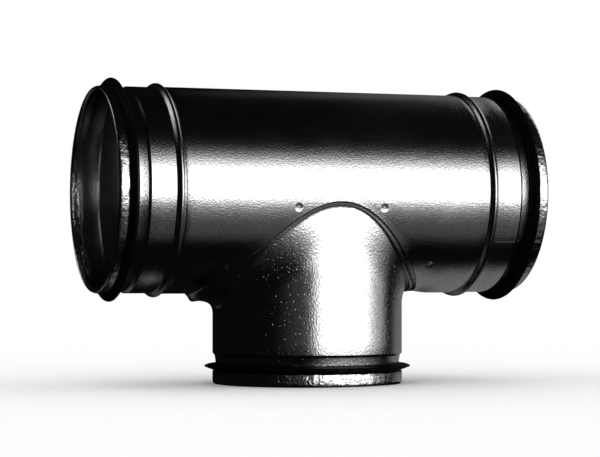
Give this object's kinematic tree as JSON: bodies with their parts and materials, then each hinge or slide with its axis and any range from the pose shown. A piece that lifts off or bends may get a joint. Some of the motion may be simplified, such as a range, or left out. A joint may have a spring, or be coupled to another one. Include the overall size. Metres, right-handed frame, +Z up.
{
  "type": "duct tee",
  "caption": "Sheet-metal ventilation tee: a straight round tube with a male spigot at each end and a smaller round branch on a drawn saddle, with rubber lip seals in rolled grooves.",
  "frame": {"origin": "middle of the branch rim, on the plane the tee stands on", "axes": "+X along the main tube, +Z up along the branch towards the main tube, +Y to the back; the picture's left end is at -X"},
  "size_m": [0.3474, 0.172, 0.237],
  "materials": {
    "tube_sheet": "zinc-coated sheet, bright and faintly grained",
    "saddle_sheet": "zinc-coated sheet, drawn, faintly streaked",
    "seal_rubber": "black, semi-matt"
  },
  "bodies": {
    "root": {"main_tube": "tube_sheet", "branch_saddle": "saddle_sheet", "seal_left": "seal_rubber", "seal_right": "seal_rubber", "seal_branch": "seal_rubber"}
  },
  "joints": []
}
